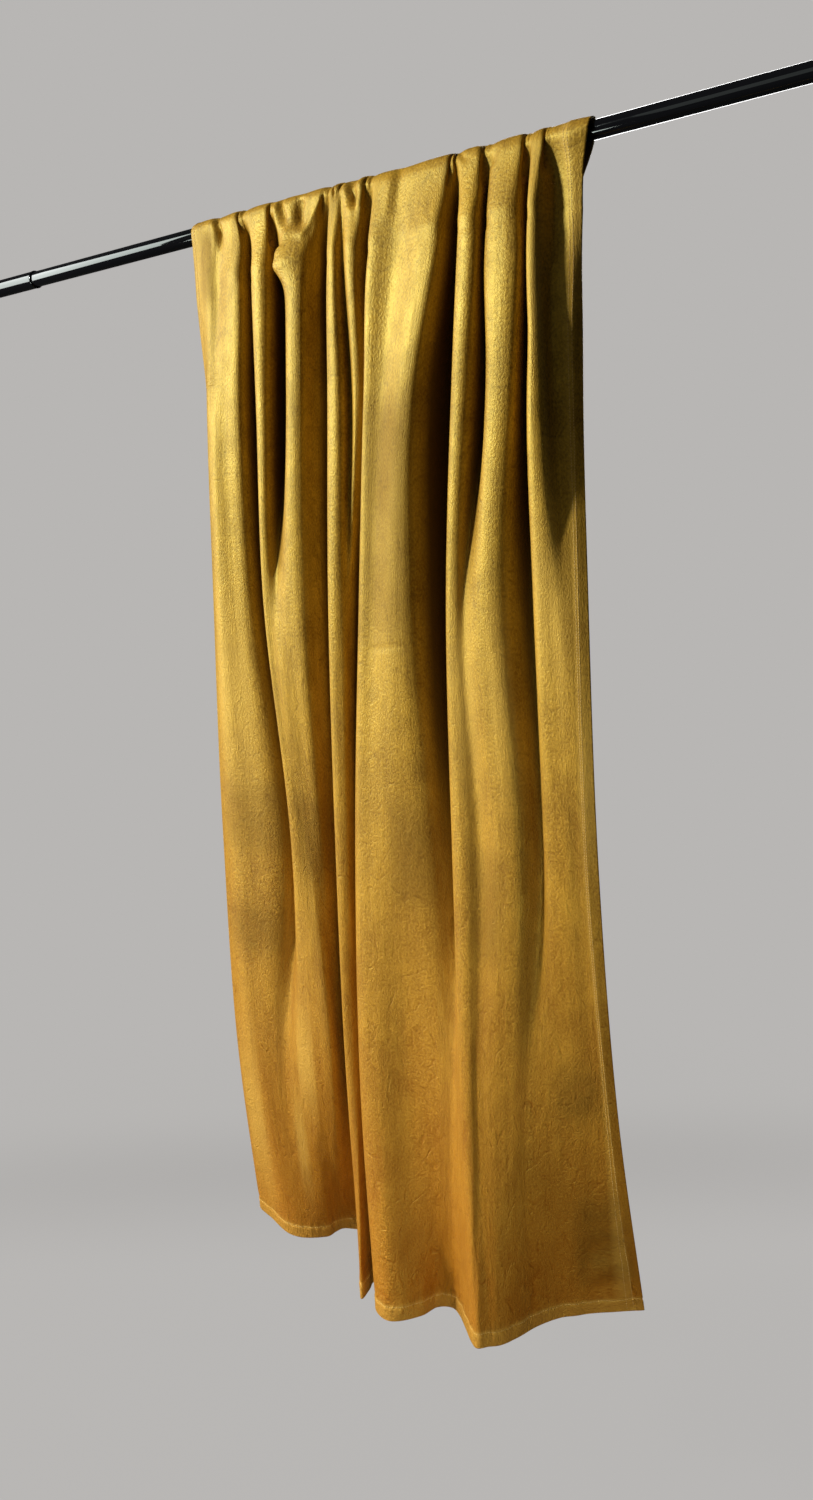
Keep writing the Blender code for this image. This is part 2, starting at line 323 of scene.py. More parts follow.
# The curtain: one panel of short-pile velvet with no lining, hung from a pocket sewn along its top and
# hemmed on the other three sides. It is gathered on the rod and falls in the soft uneven folds of the
# table below, the same fold lines that its solid has.
cloth_width = 1.40
cloth_thickness = 0.0014
solid_cloth_thickness = 0.002
side_hem_width = 0.019
bottom_hem_width = 0.022
pocket_seam_top = -0.056
pocket_seam_bottom = -0.060
hem_height = -1.760
hem_seam_height = hem_height + bottom_hem_width

# How the cloth lies on the rod: the gap to it, the length over which it comes down to the thinner tube, the
# share of a fold's depth that is left over the rod and behind it, and how the right edge slants in behind.
lying_gap = 0.0006
rod_step_ease = 0.040
top_fullness = 0.40
back_fullness = 0.8
slant_start = 1.30
edge_slant = 0.010

# Where the cloth lies on the rod its ridges are broad and the pinches between them are narrow. Below it the
# folds open out, fast at first.
pinch_depth = 0.0180
ridge_rise = 0.0055
ridge_reach = 0.0090
ridge_limit = 1.5
pinch_sharpness = 0.45
pinch_reach = 0.085
opening_drop = 0.10
opening_speed = 2.2

fold_line_heights = (0.0, -0.10, -0.30, -0.60, -1.00, -1.40, hem_height)
fold_lines = (
    # a fold line from the left edge to the right one, and its (x, y) in millimetres at each height
    ("left edge", (644, -18), (642, -12), (645, 0), (633, 5), (636, 0), (653, 20), (644, 85)),
    ("1st ridge", (683, -27), (690, -32), (687, -45), (683, -50), (680, -55), (674, -42), (622, 45)),
    ("1st pinch", (712, -19), (710, -27), (709, -52), (709, -63), (719, -72), (732, -70), (677, 20)),
    ("2nd ridge", (740, -28), (748, -41), (730, -50), (737, -56), (761, -66), (761, -70), (739, -3)),
    ("2nd slope", (753, -27), (770, -40), (764, -46), (765, -46), (811, -50), (786, -64), (761, -3)),
    ("2nd valley", (762, -18), (773, 0), (759, 12), (767, 12), (825, -8), (809, -58), (778, 3)),
    ("3rd ridge", (793, -29), (802, -43), (804, -48), (803, -54), (850, -65), (853, -66), (799, 20)),
    ("3rd slope", (817, -28), (828, -40), (821, -45), (814, -52), (863, -64), (872, -67), (807, 30)),
    ("dark valley", (829, -18), (828, 4), (810, 24), (825, -47), (872, -59), (894, -66), (807, 50)),
    ("swag ridge", (867, -26), (879, -44), (878, -54), (861, -56), (883, -54), (916, -60), (810, 66)),
    ("swag pinch", (895, -24), (905, -42), (900, -50), (887, -51), (898, -44), (908, -20), (828, 76)),
    ("4th ridge", (930, -29), (917, -16), (906, -22), (897, -26), (897, -8), (900, 18), (860, 86)),
    ("4th valley", (949, -18), (923, 6), (921, 12), (908, 22), (904, 30), (908, 52), (905, 88)),
    ("5th ridge", (963, -27), (961, -40), (957, -48), (949, -57), (944, -60), (951, -66), (962, -60)),
    ("5th slope", (971, -27), (975, -42), (981, -48), (970, -54), (959, -57), (961, -64), (978, -84)),
    ("flap valley", (976, -19), (979, -26), (981, -22), (974, -45), (963, -52), (964, -58), (989, -95)),
    ("flap ridge", (990, -30), (1000, -44), (1005, -43), (976, -37), (962, -43), (964, -50), (984, -76)),
    ("bunch pinch", (1004, -19), (1013, -42), (1012, -40), (975, -24), (959, -30), (963, -36), (978, -60)),
    ("bunch ridge", (1017, -29), (1017, -36), (1016, -33), (976, -8), (957, -10), (966, -8), (971, -44)),
    ("5th valley", (1031, -18), (1022, -4), (1023, 2), (977, 14), (965, 22), (967, 28), (985, -10)),
    ("big left", (1058, -26), (1044, -42), (1033, -53), (1017, -62), (1003, -80), (1010, -100), (1025, -102)),
    ("big dip", (1097, -20), (1089, -33), (1064, -48), (1044, -61), (1035, -81), (1046, -101), (1067, -118)),
    ("big right", (1141, -28), (1148, -47), (1111, -60), (1089, -68), (1085, -72), (1087, -74), (1099, -78)),
    ("big slope", (1174, -27), (1172, -44), (1130, -54), (1114, -57), (1130, -54), (1139, -62), (1106, -42)),
    ("6th valley", (1187, -18), (1180, 2), (1143, 38), (1130, 42), (1154, -12), (1165, -60), (1126, -22)),
    ("6th ridge", (1212, -33), (1211, -46), (1199, -54), (1182, -61), (1185, -70), (1202, -88), (1214, -96)),
    ("6th slope", (1229, -31), (1237, -45), (1221, -51), (1197, -60), (1208, -70), (1213, -86), (1224, -95)),
    ("7th valley", (1244, -18), (1234, -6), (1223, 6), (1205, -50), (1225, -58), (1223, -79), (1235, -91)),
    ("7th ridge", (1273, -29), (1258, -43), (1258, -53), (1243, -62), (1260, -65), (1244, -69), (1248, -72)),
    ("7th slope", (1294, -28), (1297, -42), (1293, -48), (1271, -55), (1294, -56), (1269, -52), (1258, -43)),
    ("8th valley", (1311, -18), (1302, -2), (1287, 14), (1294, -4), (1312, -22), (1286, -38), (1268, 5)),
    ("8th ridge", (1328, -29), (1321, -44), (1321, -56), (1325, -50), (1327, -37), (1324, -10), (1286, 46)),
    ("8th slope", (1338, -28), (1333, -44), (1338, -50), (1351, -47), (1360, -34), (1351, 9), (1303, 64)),
    ("9th valley", (1342, -19), (1344, -2), (1335, -2), (1367, -40), (1374, -29), (1368, 21), (1318, 82)),
    ("side hem", (1374, -23), (1371, -5), (1356, 14), (1385, -33), (1388, -25), (1384, 31), (1361, 119)),
    ("right edge", (1403, -18), (1383, -2), (1364, 24), (1396, -26), (1401, -17), (1395, 42), (1384, 139)),
)
line_names = [name for name, *places in fold_lines]
line_places = np.array([places for name, *places in fold_lines]) / 1000.0
line_count = len(fold_lines)

tug_fade_power = 1.4
tugs = (
    # fold line that is pulled aside, height, reach above it and below it, how far sideways and forwards, all
    # in millimetres
    ("dark valley", -40, 50, 30, -2, 6),
    ("swag ridge", -92, 42, 20, -24, 6),
    ("swag pinch", -30, 20, 30, 0, -8),
    ("7th slope", -150, 90, 120, 9, 0),
    ("8th ridge", -250, 150, 150, 4, -8),
    ("8th slope", -250, 150, 150, 0, -12),
    ("9th valley", -170, 80, 130, 0, 20),
    ("side hem", -230, 110, 140, 7, 17),
    ("right edge", -230, 110, 140, 8, 11),
    ("6th valley", -1760, 300, 100, 3, 8),
    ("6th ridge", -1760, 250, 100, -2, -3),
    ("6th slope", -1760, 250, 100, 0, 4),
    ("7th valley", -1760, 250, 100, 0, -5),
    ("side hem", -1760, 200, 100, 11, -9),
)


def step_lengths(points):
    """Distance from each point, or each point of a row, to the next one."""
    return np.linalg.norm(np.diff(points, axis=0), axis=-1)


def running_total(steps):
    """The sum of the steps up to each point, from 0 at the first one."""
    return np.concatenate([[0.0], np.cumsum(steps)])


# Columns of the cloth's grid, as places between the fold lines: closer together where the cloth is gathered,
# towards the valleys and pinches, and in the side hems.
column_spacing = 0.0053
gathered_spacing = 0.0034
gathered_from = "3rd slope"
gathered_to = "4th valley"
low_crowding = 1.3
left_hem_columns = (0.0, 0.06, 0.20, 0.34, 0.40, 0.44, 0.48, 0.54, 0.68, 0.84)
right_hem_columns = (0.0, 0.10, 0.20, 0.27, 0.32, 0.37, 0.43, 0.56, 0.80, 0.94)
line_spacings = step_lengths(line_places).mean(axis=1)
is_low = [name.endswith(("valley", "pinch")) for name in line_names]
column_places = list(left_hem_columns)
for line in range(1, line_count - 2):
    is_gathered = line_names.index(gathered_from) <= line < line_names.index(gathered_to)
    spacing = gathered_spacing if is_gathered else column_spacing
    between = max(3, round(line_spacings[line] / spacing))
    shares = np.arange(between) / between
    if is_low[line] and not is_low[line + 1]:
        shares = shares**low_crowding
    elif is_low[line + 1] and not is_low[line]:
        shares = 1 - (1 - shares) ** low_crowding
    column_places += list(line + shares)
column_places += [line_count - 2 + part for part in right_hem_columns] + [line_count - 1.0]
column_places = np.array(column_places)


def smooth_through(positions, values, wanted):
    """A smooth curve through the values, which lie at rising positions, at each wanted position."""
    positions = np.asarray(positions, float)
    wanted = np.atleast_1d(wanted)
    spans = np.diff(positions)
    shape = (-1,) + (1,) * (values.ndim - 1)
    steepness = np.diff(values, axis=0) / spans.reshape(shape)
    before, after = spans[:-1].reshape(shape), spans[1:].reshape(shape)
    inner = (steepness[:-1] * after + steepness[1:] * before) / (before + after)
    slopes = np.concatenate([steepness[:1], inner, steepness[-1:]])
    index = np.clip(np.searchsorted(positions, wanted, side="right") - 1, 0, len(spans) - 1)
    span = spans[index].reshape(shape)
    share = ((wanted - positions[index]) / spans[index]).reshape(shape)
    square, cube = share**2, share**3
    return (
        values[index] * (2 * cube - 3 * square + 1)
        + slopes[index] * span * (cube - 2 * square + share)
        + values[index + 1] * (3 * square - 2 * cube)
        + slopes[index + 1] * span * (cube - square)
    )


def plan_curve(height):
    """The cloth seen from above at this height: (x, y) for each column."""
    drops = [-h for h in fold_line_heights]
    opened = 1 - max(0.0, 1 + height / opening_drop) ** opening_speed
    drop = max(opening_drop * opened, -height)
    lines = smooth_through(drops, line_places.transpose(1, 0, 2), drop)[0]
    for name, *lengths in tugs:
        at_height, reach_above, reach_below, sideways, forwards = [length / 1000 for length in lengths]
        reach = reach_above if height > at_height else reach_below
        share = math.exp(-(abs((height - at_height) / reach) ** tug_fade_power))
        lines[line_names.index(name)] += share * np.array([sideways, -forwards])

    # Square roots of the distances as positions keep the curve round where fold lines come close.
    positions = running_total(np.sqrt(step_lengths(lines)))
    wanted = np.interp(column_places, np.arange(line_count), positions)
    points = smooth_through(positions, lines, wanted)

    nearness = np.clip(1 + height / pinch_reach, 0.0, 1.0)
    share = np.clip((-points[:, 1] - pinch_depth) / ridge_reach, 0.0, ridge_limit)
    broader = -(pinch_depth + ridge_rise * share**pinch_sharpness)
    points[:, 1] += nearness * (broader - np.minimum(points[:, 1], -pinch_depth))
    return points


def thinner_by(x):
    """How much thinner the rod under the cloth is at x than its middle tube."""
    return np.clip((x - middle_tube_end) / rod_step_ease, 0.0, 1.0) * (middle_tube_radius - inner_tube_radius)


def pocket_row(angle):
    """The middle of the cloth round the rod, at this many degrees up from the rod's front."""
    turn = math.radians(angle)
    side_fullness = 1.0 if angle <= 90 else back_fullness
    points = plan_curve(0.0)
    near_edge = np.clip((points[:, 0] - slant_start) / (points[-1, 0] - slant_start), 0.0, 1.0)
    points[:, 0] -= edge_slant * near_edge * max(0.0, -math.cos(turn))
    half = solid_cloth_thickness / 2
    lying = middle_tube_radius - thinner_by(points[:, 0]) + lying_gap + half
    bulge = -points[:, 1] - (middle_tube_radius + lying_gap + half)
    fullness = top_fullness + (side_fullness - top_fullness) * math.cos(turn) ** 2
    radius = lying + bulge * fullness
    return np.stack([points[:, 0], -radius * math.cos(turn), radius * math.sin(turn)], axis=1)


# Rows of the cloth's grid: round the rod, then down the front. They stand close over the pinches, at a level
# crease 0.68 m down, and one by one at the bottom hem's stitches and edge.
pocket_angles = np.linspace(90.0, 0.0, 10, endpoint=False)
front_heights = np.concatenate(
    [
        np.arange(0.0, -0.13, -0.0040),
        np.arange(-0.13, -0.25, -0.0075),
        np.arange(-0.25, -0.59, -0.0170),
        np.arange(-0.60, -0.66, -0.0175),
        np.arange(-0.67, -0.70, -0.0040),
        np.arange(-0.71, -1.65, -0.0240),
        np.arange(-1.66, hem_seam_height + 0.006, -0.0080),
        hem_seam_height + np.array([0.0050, 0.0030, 0.0015, 0.0, -0.0015, -0.0035, -0.0075]),
        hem_height + np.array([0.0090, 0.0040, 0.0012, 0.0]),
    ]
)
seam_row_index = int(np.argmin(abs(front_heights - pocket_seam_top)))
front_heights[seam_row_index] = pocket_seam_top
front_heights[seam_row_index + 1] = pocket_seam_bottom

front_rows = [pocket_row(angle) for angle in pocket_angles]
for height in front_heights:
    points = plan_curve(height)
    front_rows.append(np.column_stack([points, np.full(len(points), height)]))

# The pocket's back layer falls from behind the rod to the seam, where it meets the front.
back_layer_end = -0.048
back_layer_steps = 8
back_layer_ease = 1.3
behind = pocket_row(180.0)
back_rows = [pocket_row(180.0 - angle) for angle in pocket_angles[1:]] + [behind]
seam_points = plan_curve(pocket_seam_top)
for height in np.linspace(0.0, back_layer_end, back_layer_steps)[1:]:
    share = (height / pocket_seam_top) ** back_layer_ease
    plan = behind[:, :2] * (1 - share) + seam_points * share
    back_rows.append(np.column_stack([plan, np.full(len(plan), height)]))

# Rows of the whole section: up the pocket's back layer, over the rod and down the front to the hem.
middle = np.array(back_rows[::-1] + front_rows)
grid_shape = middle.shape[:2]
apex_row = len(back_rows)
seam_row = apex_row + len(pocket_angles) + seam_row_index
row_count, column_count = grid_shape

# Flat places on the cloth, in metres: across it from the left edge, measured where it hangs free, and down it
# from the rod's top.
free_heights = fold_line_heights[2:-1]
hanging = [int(np.argmin(abs(middle[apex_row:, 0, 2] - h))) + apex_row for h in free_heights]
across = running_total(np.mean([step_lengths(middle[r]) for r in hanging], axis=0))
across *= cloth_width / across[-1]
down = running_total(step_lengths(middle).mean(axis=1))
down -= down[apex_row]


def unit(vectors):
    """Each vector with its length made 1."""
    return vectors / np.maximum(np.linalg.norm(vectors, axis=-1, keepdims=True), 1e-12)


def outward(points):
    """The direction out of the front face of the cloth at each point of its grid."""
    steps = unit(np.diff(points, axis=1))
    along = np.concatenate([steps[:, :1], steps[:, 1:] + steps[:, :-1], steps[:, -1:]], axis=1)
    falls = unit(np.diff(points, axis=0))
    downward = np.concatenate([falls[:1], falls[1:] + falls[:-1], falls[-1:]], axis=0)
    return unit(np.cross(downward, along))


def smooth_step(values, low, high):
    """From 0 at the low value to 1 at the high one, with soft ends."""
    share = np.clip((values - low) / (high - low), 0.0, 1.0)
    return share * share * (3 - 2 * share)


def flat_distance(places):
    """Distance of each point of the cloth from a bent line across it, and the share along that line."""
    places = np.array(places) / 1000
    lengths = step_lengths(places)
    starts = running_total(lengths)
    nearest = np.full(grid_shape, np.inf)
    along = np.zeros(grid_shape)
    for first, way, length, start in zip(places[:-1], np.diff(places, axis=0), lengths, starts):
        side, fall = across[None, :] - first[0], down[:, None] - first[1]
        share = np.clip((side * way[0] + fall * way[1]) / length**2, 0.0, 1.0)
        distance = np.hypot(side - share * way[0], fall - share * way[1])
        along = np.where(distance < nearest, (start + share * length) / starts[-1], along)
        nearest = np.minimum(nearest, distance)
    return nearest, along


# Small creases and gathers: soft ridges and troughs along short lines. They fade out towards both ends of the
# line and are gone at this share of its length beyond them.
crease_end = 0.01
creases = (
    # height, half width, share that fades in, share that fades out, places (across, down), in millimetres
    (-10.0, 4.5, 0.02, 0.55, (93, 6), (112, 36), (122, 86)),
    (3.5, 4.5, 0.10, 0.60, (90, 13), (99, 54), (93, 89)),
    (-2.0, 3.5, 0.40, 0.40, (66, 45), (92, 30)),
    (-10.0, 4.0, 0.02, 0.40, (177, 11), (210, 40), (194, 75)),
    (3.5, 4.0, 0.20, 0.60, (233, 21), (228, 40), (205, 81)),
    (-12.0, 5.5, 0.02, 0.30, (333, 19), (337, 45), (325, 91)),
    (7.0, 5.0, 0.20, 0.45, (357, 15), (361, 45), (387, 86)),
    (-10.0, 4.5, 0.05, 0.40, (365, 13), (377, 39), (388, 63)),
    (5.0, 4.5, 0.20, 0.20, (391, 64), (387, 90), (386, 115)),
    (-5.0, 4.5, 0.30, 0.30, (382, 66), (385, 91), (323, 101)),
    (-12.0, 6.5, 0.10, 0.35, (418, 23), (411, 42), (408, 71)),
    (5.0, 4.0, 0.35, 0.25, (396, 62), (404, 75), (415, 82), (430, 70), (451, 48), (468, 29)),
    (-10.0, 4.0, 0.02, 0.50, (478, 27), (477, 46), (470, 65)),
    (-8.0, 3.5, 0.10, 0.50, (550, 16), (592, 28), (601, 49)),
    (-8.0, 3.5, 0.05, 0.50, (618, 10), (617, 25), (605, 46)),
    (-14.0, 4.5, 0.02, 0.25, (643, 7), (649, 35), (649, 64)),
    (4.5, 3.5, 0.20, 0.40, (634, 12), (640, 41), (646, 66), (655, 70)),
    (4.5, 3.5, 0.20, 0.30, (663, 17), (670, 46), (654, 69)),
    (-11.0, 4.0, 0.02, 0.40, (685, 9), (698, 44), (690, 87)),
    (-6.0, 5.0, 0.05, 0.60, (830, 10), (833, 49), (836, 112)),
    (4.0, 7.0, 0.20, 0.60, (823, 23), (827, 61), (828, 116)),
    (-13.0, 5.0, 0.02, 0.30, (954, 11), (966, 36), (953, 76)),
    (6.0, 3.5, 0.20, 0.40, (991, 10), (993, 37), (981, 57)),
    (-4.0, 4.0, 0.30, 0.30, (1000, 11), (1061, 28), (1091, 33), (1108, 29)),
    (-12.0, 4.0, 0.02, 0.30, (1113, 4), (1129, 35), (1122, 80)),
    (-6.0, 3.5, 0.20, 0.40, (1134, 46), (1156, 44), (1164, 24)),
    (-4.0, 3.0, 0.30, 0.40, (1134, 37), (1144, 35), (1160, 27)),
    (-12.0, 4.0, 0.02, 0.30, (1233, 4), (1252, 44), (1234, 94)),
    (-12.0, 4.0, 0.02, 0.30, (1334, 11), (1355, 40), (1351, 88)),
    (-1.0, 4.0, 0.15, 0.10, (824, 726), (891, 720), (974, 722)),
    (-1.2, 4.0, 0.30, 0.30, (1196, 724), (1217, 720)),
    (-5.0, 12.0, 0.40, 0.40, (1332, 1704), (1370, 1689), (1385, 1640)),
    (4.0, 8.0, 0.40, 0.40, (1362, 1745), (1374, 1712), (1387, 1689)),
    (-3.0, 5.0, 0.30, 0.30, (1366, 1769), (1374, 1745), (1387, 1736)),
    (-4.0, 4.0, 0.20, 0.10, (1386, 1739), (1385, 1780), (1385, 1806)),
    (-2.5, 6.0, 0.30, 0.30, (1366, 1640), (1380, 1615), (1393, 1566)),
    (2.5, 5.0, 0.30, 0.30, (341, 1517), (296, 1615), (231, 1689)),
    (-2.0, 4.0, 0.10, 0.60, (953, 1789), (926, 1764), (909, 1742)),
    (-2.0, 4.0, 0.10, 0.60, (988, 1788), (1000, 1755), (1005, 1711)),
    (-2.5, 5.0, 0.20, 0.20, (1128, 1300), (1130, 1517), (1095, 1783)),
)
crease_height = np.zeros(grid_shape)
for height, half_width, fade_in, fade_out, *places in creases:
    distance, share = flat_distance(places)
    fading = smooth_step(share, -crease_end, fade_in) * (1 - smooth_step(share, 1 - fade_out, 1 + crease_end))
    crease_height += height / 1000 * fading * np.exp(-((distance * 1000 / half_width) ** 2))

# Puckers along the bottom hem's seam, uneven because their pitch comes and goes.
pucker_height = 0.0011
pucker_pitch = 0.026
pucker_change = 0.091
pucker_shift = 2.0
pucker_reach = 0.013
pucker_phase = 2 * math.pi * across / pucker_pitch
pucker_phase = pucker_phase + pucker_shift * np.sin(2 * math.pi * across / pucker_change)
near_bottom_seam = np.exp(-(((middle[:, :, 2] - hem_height - bottom_hem_width) / pucker_reach) ** 2))
crease_height += pucker_height * np.sin(pucker_phase) * near_bottom_seam
middle = middle + outward(middle) * crease_height[..., None]

# The gathers near the rod are softened, as the thick pile rounds them off.
gather_depth = 0.14
softening_rounds = 2
softening = 0.5
last_soft_row = int(np.argmin(abs(down - gather_depth)))
for _ in range(softening_rounds):
    soft = middle[1:last_soft_row, 1:-1]
    around = middle[: last_soft_row - 1, 1:-1] + middle[2 : last_soft_row + 1, 1:-1]
    beside = middle[1:last_soft_row, :-2] + middle[1:last_soft_row, 2:]
    middle[1:last_soft_row, 1:-1] = soft + softening * ((around + beside) / 4 - soft)

# No part of the cloth comes closer to the rod than where it lies on it.
from_rod = np.hypot(middle[:, :, 1], middle[:, :, 2])
lying_at = middle_tube_radius + lying_gap + cloth_thickness / 2 - thinner_by(middle[:, :, 0])
middle[:, :, 1:] *= np.maximum(lying_at / from_rod, 1.0)[..., None]

# Hems: the cloth is turned over and sewn down, so it is thicker there and dips at the stitching.
hem_extra = 0.0007
hem_edge_width = 0.003
stitch_dip = 0.0011
stitch_dip_width = 0.0020
front_height = middle[:, :, 2].copy()
front_height[:apex_row] = 0.0
above_hem = front_height - hem_height
from_side = np.minimum(across, cloth_width - across)[None, :]
in_bottom_hem = 1 - smooth_step(above_hem, bottom_hem_width, bottom_hem_width + hem_edge_width)
in_side_hem = 1 - smooth_step(from_side, side_hem_width, side_hem_width + hem_edge_width)
thicker = hem_extra * np.maximum(in_bottom_hem, in_side_hem)
bottom_dip = np.exp(-(((above_hem - bottom_hem_width) / stitch_dip_width) ** 2))
side_dip = np.exp(-(((from_side - side_hem_width) / stitch_dip_width) ** 2))
thicker = thicker - stitch_dip * np.maximum(bottom_dip, side_dip)
half_thickness = (cloth_thickness / 2 + thicker)[..., None]


def in_patches(patches, end_power):
    """How far each point of the cloth lies within the patches, from 0 to 1."""
    shares = np.zeros(grid_shape)
    for patch_across, patch_down, half_across, half_down in patches:
        far_across = (across[None, :] * 1000 - patch_across) / half_across
        far_down = (down[:, None] * 1000 - patch_down) / half_down
        shares = np.maximum(shares, np.exp(-(far_across**4) - far_down**end_power))
    return shares


# Patches of the pile, each by its middle (across, down) and its half sizes, in millimetres: fine level
# wrinkles from packing; darker places, part pressed pile and part painted shade; and lighter places, part
# brushed pile and part painted highlight.
packing_patches = (
    (86, 279, 34, 30),
    (450, 290, 36, 30),
)
pressed_shade_patches = (
    (151, 1011, 57, 60),
    (878, 520, 58, 190),
    (390, 1035, 66, 72),
    (927, 915, 16, 24),
    (911, 1035, 35, 84),
    (1346, 1396, 40, 48),
    (1366, 1665, 34, 85),
    (1155, 1110, 38, 85),
    (144, 1204, 57, 48),
    (1376, 650, 26, 100),
    (65, 95, 30, 60),
)
# Lighter places: part brushed pile and part painted highlight.
brushed_highlight_patches = (
    (130, 790, 35, 170),
    (108, 1560, 24, 170),
    (300, 1430, 26, 100),
    (262, 1590, 26, 100),
    (1125, 780, 28, 190),
    (1205, 800, 20, 130),
    (1333, 650, 25, 130),
    (1388, 900, 14, 130),
    (1325, 230, 22, 90),
    (1388, 170, 14, 80),
)
wrinkled = in_patches(packing_patches, 2)
pressed_shade = in_patches(pressed_shade_patches, 6)
brushed_highlight = in_patches(brushed_highlight_patches, 2)

# Painted highlight: a lighter colour along the hems' stitches, over the bottom hem and in the brushed
# patches, where the pile catches more light.
seam_width = 0.0035
seam_offset = 0.001
seam_share = 0.5
hem_share = 0.3
brushed_highlight_share = 0.5
from_bottom_seam = abs(above_hem - bottom_hem_width - seam_offset)
from_side_seam = abs(from_side - side_hem_width + seam_offset)
from_seam = np.minimum(from_bottom_seam, from_side_seam)
seam = np.maximum(seam_share * np.exp(-((from_seam / seam_width) ** 2)), hem_share * in_bottom_hem)
seam = np.maximum(seam, brushed_highlight_share * brushed_highlight)

# Painted shade in the folds: how deep each point lies between the folds on both sides of it, from 0 near a
# ridge to 1 deep between them, which darkens the velvet's colour there. It fades out further down, where the
# folds stand open.
hollow_columns = 22
shallow_hollow = 0.006
deep_hollow = 0.040
hollow_fade_start = 0.80
hollow_fade_end = 1.25
left_reach, right_reach = middle[:, :, 1].copy(), middle[:, :, 1].copy()
for shift in range(1, hollow_columns):
    left_reach[:, shift:] = np.minimum(left_reach[:, shift:], middle[:, :-shift, 1])
    right_reach[:, :-shift] = np.minimum(right_reach[:, :-shift], middle[:, shift:, 1])
depth = middle[:, :, 1] - np.maximum(left_reach, right_reach)
hollow_shade = smooth_step(depth, shallow_hollow, deep_hollow)
hollow_shade *= 1 - smooth_step(down[:, None], hollow_fade_start, hollow_fade_end)
cloth_shares = {"hollow_shade": hollow_shade, "seam": seam, "wrinkled": wrinkled, "pressed_shade": pressed_shade}

normals = outward(middle)
outside = middle + normals * half_thickness
inside = middle - normals * half_thickness


def add_mesh_object(name, mesh):
    """Turns the mesh's faces outwards and puts it in the scene."""
    shaped = bmesh.new()
    shaped.from_mesh(mesh)
    bmesh.ops.recalc_face_normals(shaped, faces=shaped.faces[:])
    shaped.to_mesh(mesh)
    shaped.free()
    obj = bpy.data.objects.new(name, mesh)
    scene.collection.objects.link(obj)
    return obj


side_edge_roundness = 0.8
hem_edge_roundness = 0.4


def add_curtain_mesh():
    """Both faces of the cloth with a rounded edge between them, as one closed mesh."""
    points = [outside.reshape(-1, 3), inside.reshape(-1, 3)]
    flat = np.stack(np.broadcast_arrays(across[None, :], down[:, None]), axis=-1)
    flats = [flat.reshape(-1, 2), flat.reshape(-1, 2)]
    grid = np.arange(row_count * column_count).reshape(row_count, column_count)
    out, inn = grid, grid + row_count * column_count
    count = 2 * row_count * column_count
    rims = []
    for column, neighbour in ((0, 1), (-1, -2)):
        outward_way = unit(middle[:, column] - middle[:, neighbour])
        edge = middle[:, column] + outward_way * half_thickness[:, column] * side_edge_roundness
        edge[-1, 2] -= cloth_thickness / 2
        points.append(edge)
        flats.append(flat[:, column])
        rims.append(np.arange(count, count + row_count))
        count += row_count
    hem_edge = middle[-1, 1:-1] - np.array([0.0, 0.0, cloth_thickness * hem_edge_roundness])
    points.append(hem_edge)
    flats.append(flat[-1, 1:-1])
    hem_rim = np.concatenate([[rims[0][-1]], np.arange(count, count + column_count - 2), [rims[1][-1]]])

    faces = []
    reverse_faces = []

    def band(upper, lower, kept):
        kept.extend(zip(upper[:-1], upper[1:], lower[1:], lower[:-1]))

    for r in range(row_count - 1):
        band(out[r], out[r + 1], faces)
        if r != seam_row:
            band(inn[r], inn[r + 1], reverse_faces)
    band(inn[seam_row + 1], out[0], faces)
    band(inn[seam_row], inn[0], reverse_faces)
    band(out[-1], hem_rim, faces)
    band(hem_rim, inn[-1], faces)
    for column, rim in ((0, rims[0]), (-1, rims[1])):
        band(out[:, column], rim, faces)
        band(rim, inn[:, column], faces)
        top_corner = (out[0, column], rim[0], inn[0, column])
        faces.append(top_corner + (inn[seam_row, column], inn[seam_row + 1, column]))

    mesh = bpy.data.meshes.new("velvet_curtain")
    mesh.from_pydata(np.concatenate(points), [], [tuple(map(int, f)) for f in faces + reverse_faces])
    is_reverse = np.arange(len(faces) + len(reverse_faces)) >= len(faces)
    mesh.polygons.foreach_set("material_index", is_reverse.astype(np.int32))
    mesh.polygons.foreach_set("use_smooth", np.ones(len(is_reverse), bool))
    cloth_map = mesh.uv_layers.new(name="cloth_metres")
    corner_verts = np.empty(len(mesh.loops), np.int32)
    mesh.loops.foreach_get("vertex_index", corner_verts)
    cloth_map.data.foreach_set("uv", np.concatenate(flats)[corner_verts].ravel())
    for attribute_name, shares in cloth_shares.items():
        rim_shares = (shares[:, 0], shares[:, -1], shares[-1, 1:-1])
        attribute = mesh.attributes.new(attribute_name, "FLOAT", "POINT")
        attribute.data.foreach_set("value", np.concatenate((shares.ravel(), shares.ravel()) + rim_shares))
    return add_mesh_object("velvet_curtain", mesh)


curtain = add_curtain_mesh()

# Ochre polyester velvet with a short brushed pile: satin-bright and pale where it faces the light. Its colour
# holds painted shade, deep brown between the folds and darker and more orange lower down. It has brush
# streaks, a mottle and fine crinkles where the pile was crushed, darker patches that are part pressed pile
# and part painted shade, and lighter ones that are part brushed pile and part painted highlight, with painted
# highlight along the hems. The speckle of its pile ends is drawn 2.6 mm wide, coarser than the real pile, so
# that it shows. Sizes are those across and down the cloth.
speckle_size = (0.0026, 0.0044)
streak_size = (0.008, 0.240)
mottle_size = (0.022, 0.045)
crinkle_size = (0.030, 0.050)
cloud_size = (0.090, 0.150)
wrinkle_size = (0.060, 0.007)

# The sums of the patterns that give the darkest and the palest ochre, and the stretch down the cloth, in
# metres, over which it turns more creased and is painted darker and more orange as painted shade, up to this
# share.
dark_sum = 1.40
pale_sum = 2.17
low_start = 0.6
low_end = 1.8
low_share = 0.58


